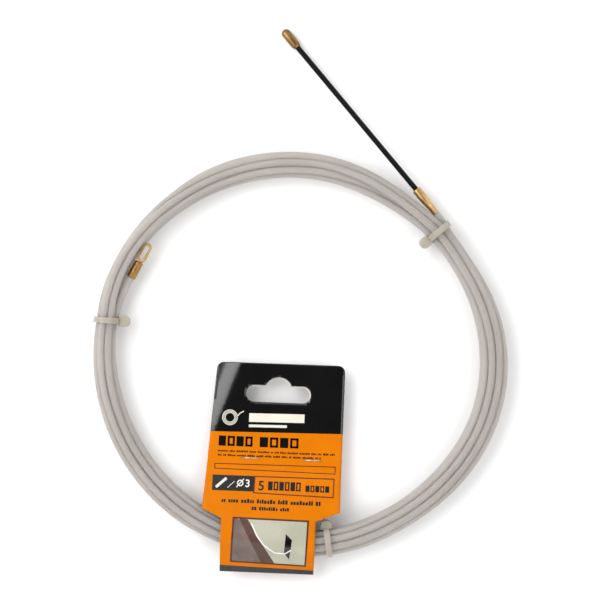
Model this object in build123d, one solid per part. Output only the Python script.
from build123d import *
import os
from math import acos, atan2, cos, degrees, pi, radians, sin, tan

# All lengths in millimetres and all angles in degrees. The coil lies flat in the XY plane and Z is up.
# Angles round the coil run anticlockwise from +X.

# fish tape
tape_diameter = 3.0
ring_center = Vector(0.45, -23.7, 0)

# The coil's outer shape: angle, radius of the bundle's middle, its width, its height, height of its middle.
# It is narrow and tall where a tie grips it, and wide and low between the ties.
top_run = [
    (42.8, 77.6, 9.4, 12.2, 7.3),
    (51, 76.4, 8.0, 11.8, 7.3),
    (62, 76.9, 9.4, 10.8, 7.2),
    (80, 79.3, 10.7, 10.0, 7.1),
    (105, 81.5, 11.2, 9.8, 7.1),
    (122, 82.7, 10.8, 10.2, 7.2),
    (133, 83.6, 8.8, 11.6, 7.3),
    (142, 84.6, 6.6, 12.8, 7.3),
    (155, 84.5, 6.6, 12.8, 7.3),
    (163, 83.8, 7.4, 12.6, 7.3),
    (169, 82.6, 9.1, 12.2, 7.3),
]
left_run = [
    (169, 82.6, 9.1, 12.2, 7.3),
    (182, 82.1, 9.4, 11.6, 7.2),
    (205, 80.8, 11.6, 10.0, 7.1),
    (228, 79.9, 11.2, 10.2, 7.1),
    (246, 79.0, 10.2, 10.6, 7.1),
    (261, 77.9, 10.0, 10.8, 7.05),
    (278, 77.4, 10.6, 11.4, 6.9),
]
right_run = [
    (278, 77.4, 10.6, 11.4, 6.9),
    (296, 77.2, 10.8, 10.6, 7.0),
    (314, 77.9, 11.4, 10.0, 7.1),
    (332, 79.4, 12.5, 9.4, 7.1),
    (352, 80.1, 12.4, 9.4, 7.1),
    (372, 79.0, 10.6, 10.4, 7.2),
    (386, 77.5, 8.8, 11.6, 7.3),
    (396, 77.0, 8.2, 12.2, 7.3),
    (402.8, 77.6, 9.4, 12.2, 7.3),
]

# cable ties: angle round the coil, direction and thickness of the head, then the bundle that it grips:
# radius of its middle, width, height and mid height
tie_places = {
    "tie_right": (42.8, 220, 4.3, 77.6, 9.4, 12.2, 7.3),
    "tie_left": (169, -4, 4.3, 82.6, 9.1, 12.2, 7.3),
    "tie_bottom": (278, 97, 3.3, 77.4, 10.6, 11.4, 6.9),
}
strap_width = 2.5
strap_thickness = 1.05
strap_gap = 0.15
head_sink = 0.15
head_width = 4.7
head_length = 4.8
head_corner = 1.9
tail_width = 2.5
tail_stub = 0.6
tail_root = 0.4
tail_thickness = 1.0
tail_height = 0.6

# leader: a straight line from the end of the tape, dropping gently until the tip meets the table
leader_start = ring_center + Vector(56.0, 60.1, 6.7)
leader_heading = 129.6
leader_drop = 2.7
ferrule_length = 13.2
ferrule_small_radius = 1.25
ferrule_large_radius = 1.9
ferrule_taper_length = 8.6
ferrule_edge = 0.6
tape_free_length = 4.5
tape_tail_radius = 0.9
tape_tail_length = 5.0
leader_length = 77.5
leader_bends = 4
spring_radius = 1.2
spring_bore_radius = 0.65
core_radius = 0.6
socket_depth = 4.0
socket_radius = 1.25
bend_clearance = 0.45
tip_length = 9.5
tip_radius = 1.95
tip_rear_radius = 1.4
tip_taper_length = 1.5
tip_nose_radius = 1.9

# eyelet
eyelet_start = ring_center + Vector(-71.3, 33.5, 7.3)
eyelet_heading = 61.5
sleeve_radius = 1.95
sleeve_length = 7.4
sleeve_chamfer = 0.35
sleeve_bore_depth = 5.6
sleeve_bore_radius = 1.52
eye_width = 4.0
eye_thickness = 1.4
eye_end = 16.2
eye_slot_width = 1.7
eye_slot_start = 8.7
eye_slot_end = 14.8
blade_overlap = 0.2
eyelet_bend_back = 3.6
tape_end_gap = 0.1

# hang card, in its own frame: U across the card, V up it, from the middle of its shoulder line
card_origin = ring_center + Vector(-12.9, -62.95, 7.25)
card_turn = -2.3
leaf_thickness = 0.35
head_half_width = 28.6
card_top = 60.8
shoulder_drop = 3.9
neck_left = -20.4
neck_right = 18.7
fold_v = -26.6
fold_radius = 0.7
corner_radius = 3.0
edge_taper = 4.1
edge_drop = 0.5
join_v = 16.0
pocket_radius = 7.25
swing_v = -12.7
swing_skew = -5.6
hang_slot_center = (1.2, 48.0)
hang_slot_length = 27.0
hang_slot_width = 7.0
hump_radius = 5.8
hump_rise = 3.5
curl_top_u = -13.0
curl_radius = 14.0
sector_margin = 0.1
cutter_height = 20.0
cutter_reach = 100.0
staple_v = 21.0
staple_places = {"staple_left": -9.4, "staple_right": 16.3}
staple_width = 8.0
staple_wire = 0.5
staple_clinch = 2.6
staple_bend = 0.3
staple_bed = 0.1
staple_bed_clearance = 0.05


def heading(angle, pitch=0):
    """Unit vector at an angle in plan, tipped down by pitch."""
    flat = cos(radians(pitch))
    return Vector(flat * cos(radians(angle)), flat * sin(radians(angle)), -sin(radians(pitch)))


def revolve_profile(points, edge_radius=0, rounded=()):
    """Solid of revolution about local X from an outline in X and radius, some of its corners rounded."""
    outline = Polyline(*points, close=True)
    face = make_face(outline)
    corners = [v for v in face.vertices() if any(abs(v.X - x) + abs(v.Y - r) < 1e-6 for x, r in rounded)]
    if corners:
        face = fillet(corners, edge_radius)
    return revolve(face, Axis.X)


def rod(start, end, radius):
    return revolve_profile([(start, 0), (end, 0), (end, radius), (start, radius)])


# ---- coil ----
def coil_section(angle, radius, width, height, middle):
    outward = heading(angle)
    center = ring_center + outward * radius + Vector(0, 0, middle)
    return Plane(origin=center, x_dir=outward, z_dir=heading(angle + 90)) * Ellipse(width / 2, height / 2)


def make_coil():
    runs = [loft([coil_section(*station) for station in run]) for run in (top_run, left_run, right_run)]
    return runs[0] + runs[1] + runs[2]


# ---- tape ends ----
leader_frame = Plane(
    origin=leader_start,
    x_dir=heading(leader_heading, leader_drop),
    z_dir=heading(leader_heading, leader_drop - 90),
)
eyelet_frame = Plane(origin=eyelet_start, x_dir=heading(eyelet_heading), z_dir=(0, 0, 1))

eyelet_route = [
    ring_center + heading(166.5) * 79.8 + Vector(0, 0, 7.3),
    ring_center + heading(163) * 79.5 + Vector(0, 0, 7.3),
    eyelet_start - heading(eyelet_heading) * eyelet_bend_back,
    eyelet_start + heading(eyelet_heading) * (sleeve_bore_depth - tape_end_gap),
]


def route_radii(points):
    """Radius of the arc at each corner: 0.45 of the shorter run over the tangent of half the turn."""
    radii = []
    for before, at, after in zip(points, points[1:], points[2:]):
        shorter = min((at - before).length, (after - at).length)
        half = (at - before).get_angle(after - at) / 2
        radii.append(0.45 * shorter / tan(radians(half)))
    return radii


def make_tube(points):
    radii = route_radii(points)
    print("tube radii", [round(r, 1) for r in radii])
    path = FilletPolyline(*points, radius=radii)
    section = Plane(origin=path @ 0, z_dir=path % 0) * Circle(tape_diameter / 2)
    tube = sweep(section, path)
    print("tube volume", round(tube.volume, 2), "section x length", round(section.area * path.length, 2))
    return tube


def make_leader_run():
    """The last straight stretch of tape, turned down where it is held in the ferrule."""
    free = leader_frame * rod(-tape_free_length, 0, tape_diameter / 2)
    tail = leader_frame * rod(0, tape_tail_length, tape_tail_radius)
    return free + tail


# ---- leader ----
leader_end = ferrule_length + leader_length
bend_spacing = leader_length / leader_bends
bend_places = [ferrule_length + bend_spacing * (n + 0.5) for n in range(leader_bends)]


def make_ferrule():
    outline = [
        (0, tape_tail_radius),
        (0, ferrule_small_radius),
        (ferrule_taper_length, ferrule_large_radius),
        (ferrule_length, ferrule_large_radius),
        (ferrule_length, socket_radius),
        (ferrule_length - socket_depth, socket_radius),
        (ferrule_length - socket_depth, 0),
        (tape_tail_length, 0),
        (tape_tail_length, tape_tail_radius),
    ]
    outer_edge = (ferrule_length, ferrule_large_radius)
    return revolve_profile(outline, ferrule_edge, [outer_edge])


def make_tip():
    start, end = leader_end, leader_end + tip_length
    outline = [
        (start, socket_radius),
        (start, tip_rear_radius),
        (start + tip_taper_length, tip_radius),
        (end, tip_radius),
        (end, 0),
        (start + socket_depth, 0),
        (start + socket_depth, socket_radius),
    ]
    return revolve_profile(outline, tip_nose_radius, [(end, tip_radius)])


def spring_piece(start, end):
    return revolve_profile(
        [(start, spring_bore_radius), (end, spring_bore_radius), (end, spring_radius), (start, spring_radius)]
    )


def leader_spans():
    """Start and end of each length of the leader, between one bend and the next."""
    starts = [ferrule_length - socket_depth] + [place + bend_clearance for place in bend_places]
    ends = [place - bend_clearance for place in bend_places] + [leader_end + socket_depth]
    return list(zip(starts, ends))


# ---- eyelet ----
def make_eyelet():
    bore = sleeve_bore_radius
    sleeve = revolve_profile(
        [
            (0, bore),
            (0, sleeve_radius - sleeve_chamfer),
            (sleeve_chamfer, sleeve_radius),
            (sleeve_length - sleeve_chamfer, sleeve_radius),
            (sleeve_length, sleeve_radius - sleeve_chamfer),
            (sleeve_length, 0),
            (sleeve_bore_depth, 0),
            (sleeve_bore_depth, bore),
        ]
    )
    root = sleeve_bore_depth + blade_overlap
    straight = eye_end - eye_width / 2 - root
    blade = Pos(root + straight / 2, 0) * Rectangle(straight, eye_width)
    blade += Pos(eye_end - eye_width / 2, 0) * Circle(eye_width / 2)
    slot_middle = (eye_slot_start + eye_slot_end) / 2
    slot = SlotOverall(eye_slot_end - eye_slot_start, eye_slot_width)
    blade -= Pos(slot_middle, 0) * slot
    eye = extrude(blade, eye_thickness / 2, both=True)
    return eyelet_frame * (sleeve + eye)


# ---- cable ties ----
def make_tie(angle, head_direction, head_thickness, radius, width, height, middle):
    """Strap loop, head and cut tail in one moulding. Local X points along the head, Y is up."""
    center = ring_center + heading(angle) * radius + Vector(0, 0, middle)
    frame = Plane(origin=center, x_dir=heading(head_direction), z_dir=heading(head_direction - 90))
    inner = Ellipse(width / 2 + strap_gap, height / 2 + strap_gap)
    outer = Ellipse(width / 2 + strap_gap + strap_thickness, height / 2 + strap_gap + strap_thickness)
    strap = extrude(outer - inner, strap_width / 2, both=True)
    face_x = width / 2 + strap_gap + head_sink
    block = Pos(face_x + head_thickness / 2, 0, 0) * Box(head_thickness, head_length, head_width)
    nose = [e for e in block.edges().filter_by(Axis.Y) if e.center().X > face_x + head_thickness / 2]
    block = fillet(nose, head_corner)
    tail_x = face_x + head_thickness + (tail_stub - tail_root) / 2
    tail = Pos(tail_x, tail_height, 0) * Box(tail_stub + tail_root, tail_thickness, tail_width)
    bundle = extrude(inner, head_width, both=True)
    return frame * ((strap + block + tail) - bundle)


# ---- hang card ----
card_frame = Plane(origin=card_origin, x_dir=heading(card_turn), z_dir=(0, 0, 1))


def tangent_points(center_a, radius_a, center_b, radius_b):
    """Where the upper outer tangent touches two circles on the line Z = 0, b lying at higher V than a."""
    lean = acos((radius_a - radius_b) / (center_b - center_a))
    on_a = (center_a + radius_a * cos(lean), radius_a * sin(lean))
    on_b = (center_b + radius_b * cos(lean), radius_b * sin(lean))
    return on_a, on_b


def pocket_face(u, inset):
    """Section of the card's pocket round the bundle: fold, round middle and the line where the leaves meet."""
    middle = swing_v + tan(radians(swing_skew)) * u
    big = pocket_radius - inset
    fold = fold_radius - inset
    fold_center = fold_v + fold_radius
    fold_low, big_low = tangent_points(fold_center, fold, middle, big)
    end_radius = leaf_thickness - inset
    big_high, join_high = tangent_points(middle, big, join_v, end_radius)
    top = [
        ThreePointArc((fold_center - fold, 0), arc_middle(fold_center, fold, fold_low), fold_low),
        Line(fold_low, big_low),
        ThreePointArc(big_low, (middle, big), big_high),
        Line(big_high, join_high),
    ]
    if end_radius > 0:
        top.append(Line(join_high, (join_v, 0)))
    bottom = [mirror(edge, Plane.XZ) for edge in top]
    section = make_face(top + bottom)
    return Plane(origin=(u, 0, 0), x_dir=(0, 1, 0), z_dir=(1, 0, 0)) * section


def arc_middle(center, radius, end):
    """Point halfway round an arc that starts at the low side of a circle and stops at end."""
    stop = atan2(end[1], end[0] - center)
    half = (pi + stop) / 2
    return (center + radius * cos(half), radius * sin(half))


def card_plan():
    """Outline of the card seen from above. The curled left edge leans inwards in a straight line."""
    outline = Polyline(
        (neck_left, fold_v - 1),
        (neck_left, -shoulder_drop),
        (-head_half_width, 0),
        (-head_half_width + edge_taper, card_top - edge_drop),
        (curl_top_u, card_top),
        (head_half_width, card_top),
        (head_half_width, 0),
        (neck_right, -shoulder_drop),
        (neck_right, fold_v - 1),
        close=True,
    )
    plan = make_face(outline)
    rounded = [v for v in plan.vertices() if v.Y > join_v + 1 and abs(v.X - curl_top_u) > 1]
    return fillet(rounded, corner_radius)


def curl_lean():
    """Angle between the line where the card starts to curl and the card's V axis."""
    return degrees(atan2(curl_top_u + head_half_width, card_top - join_v))


def curl_reach():
    """Distance of the card's corner from that line, along the card."""
    return (curl_top_u + head_half_width) * cos(radians(curl_lean()))


def hang_slot():
    u, v = hang_slot_center
    slot = Pos(u, v) * SlotOverall(hang_slot_length, hang_slot_width)
    hump = Pos(u, v + hump_rise + hang_slot_width / 2 - hump_radius) * Circle(hump_radius)
    return slot + hump


def make_card_head():
    """Both leaves lying together, with the left edge curled down to the table."""
    lean = radians(curl_lean())
    flat = Pos(cutter_reach / 2, 0) * Rectangle(cutter_reach, 2 * leaf_thickness)
    ring = Circle(curl_radius + leaf_thickness) - Circle(curl_radius - leaf_thickness)
    reach = 3 * curl_radius
    side = reach * tan(curl_reach() / curl_radius + sector_margin)
    sector = make_face(Polyline((0, 0), (0, reach), (-side, reach), close=True))
    section = flat + Pos(0, -curl_radius) * (ring & sector)
    across = Plane(
        origin=(-head_half_width, join_v, 0),
        x_dir=(cos(lean), -sin(lean), 0),
        z_dir=(-sin(lean), -cos(lean), 0),
    )
    slab = extrude(across * section, cutter_reach, both=True)
    plan = card_plan() & Pos(0, join_v + cutter_reach / 2) * Rectangle(2 * cutter_reach, cutter_reach)
    plan -= hang_slot()
    leaves = slab & extrude(plan, cutter_height, both=True)
    bed_length = staple_width + 2 * staple_bed_clearance
    bed_width = staple_wire + 2 * staple_bed_clearance
    for u in staple_places.values():
        for face in (leaf_thickness, -leaf_thickness):
            leaves -= Pos(u, staple_v, face) * Box(bed_length, bed_width, 2 * staple_bed)
    return leaves


def make_card():
    reach = head_half_width + 1
    outer = loft([pocket_face(-reach, 0), pocket_face(reach, 0)], ruled=True)
    inner = loft([pocket_face(-reach, leaf_thickness), pocket_face(reach, leaf_thickness)], ruled=True)
    pocket = (outer - inner) & extrude(card_plan(), cutter_height, both=True)
    return card_frame * (pocket + make_card_head())


def make_staple(u):
    """Wire staple through both leaves, bedded into them: crown in front, ends clinched inwards behind."""
    wire = staple_wire / 2
    front = leaf_thickness + wire - staple_bed
    back = -front
    half = staple_width / 2 - wire
    path = FilletPolyline(
        (-half + staple_clinch, 0, back),
        (-half, 0, back),
        (-half, 0, front),
        (half, 0, front),
        (half, 0, back),
        (half - staple_clinch, 0, back),
        radius=staple_bend,
    )
    section = Plane(origin=path @ 0, z_dir=path % 0) * Circle(wire)
    return card_frame * (Pos(u, staple_v, 0) * sweep(section, path))


def main():
    os.makedirs("parts", exist_ok=True)
    nodes = {
        "tape_coil": make_coil(),
        "tape_leader_run": make_leader_run(),
        "tape_eyelet_run": make_tube(eyelet_route),
        "leader_ferrule": leader_frame * make_ferrule(),
        "leader_tip": leader_frame * make_tip(),
        "tape_eyelet": make_eyelet(),
        "hang_card": make_card(),
    }
    for number, (start, end) in enumerate(leader_spans(), 1):
        nodes[f"leader_spring_{number}"] = leader_frame * spring_piece(start, end)
        nodes[f"leader_core_{number}"] = leader_frame * rod(start, end, core_radius)
    for name, place in tie_places.items():
        nodes[name] = make_tie(*place)
    for name, u in staple_places.items():
        nodes[name] = make_staple(u)
    for name, shape in nodes.items():
        shape.label = name
        export_step(shape, f"parts/{name}.step")
    low_high = Compound(children=list(nodes.values())).bounding_box()
    print("box", low_high.min, low_high.max)
    for place in bend_places:
        print("bend at", leader_frame.from_local_coords((place, 0, 0)))


main()
